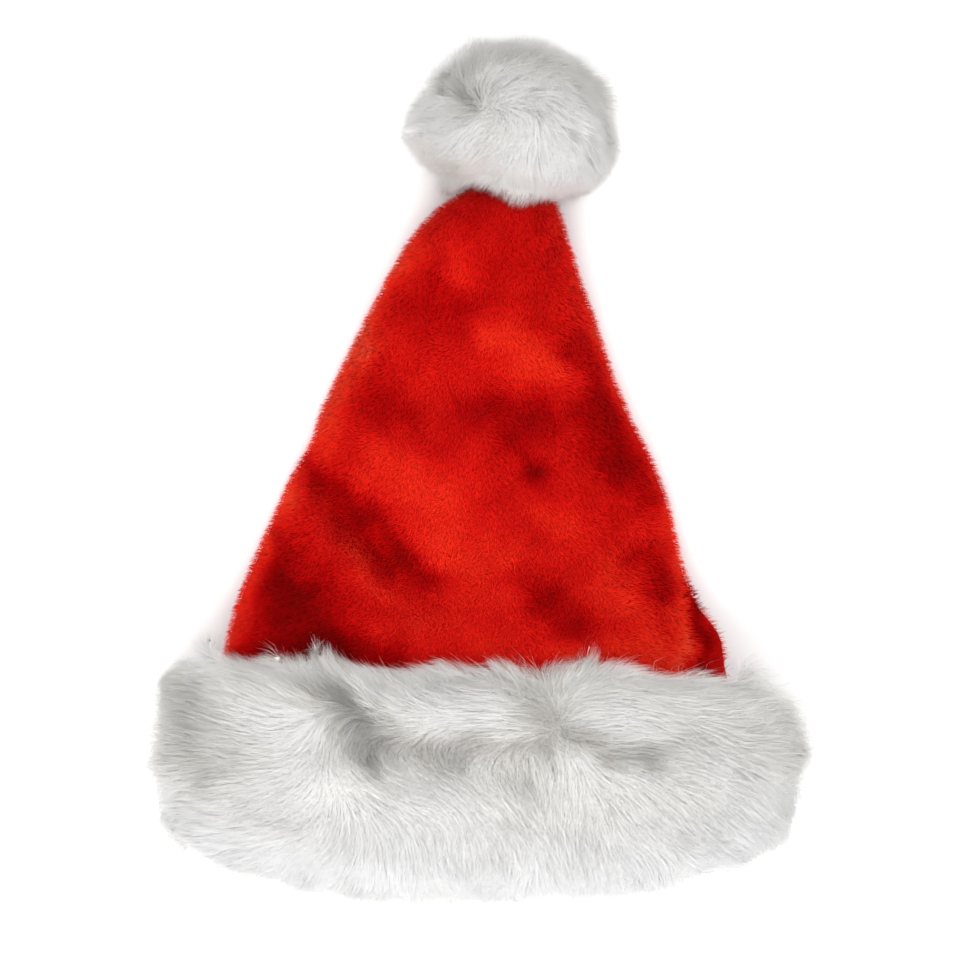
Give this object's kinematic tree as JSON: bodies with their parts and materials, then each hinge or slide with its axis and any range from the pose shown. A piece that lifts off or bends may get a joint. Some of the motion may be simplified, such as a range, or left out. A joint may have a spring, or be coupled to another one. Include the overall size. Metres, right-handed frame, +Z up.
{
  "type": "santa hat",
  "caption": "Soft plush Santa hat lying flat: hollow pointed red crown, deep white fur cuff round the mouth and a white fur pompom on the tip.",
  "frame": {"origin": "middle of the fur cuff's flat underside, on the surface that the hat lies on", "axes": "+Z up out of the hat's front, +Y from the mouth towards the pompom, +X to the right seen from above"},
  "size_m": [0.3301, 0.431, 0.0945],
  "materials": {
    "red_plush": "short dense plush pile, matt with a soft sheen",
    "white_fur": "long soft faux fur, matt"
  },
  "bodies": {
    "root": {"crown": "red_plush", "cuff": "white_fur", "pompom": "white_fur"}
  },
  "joints": []
}
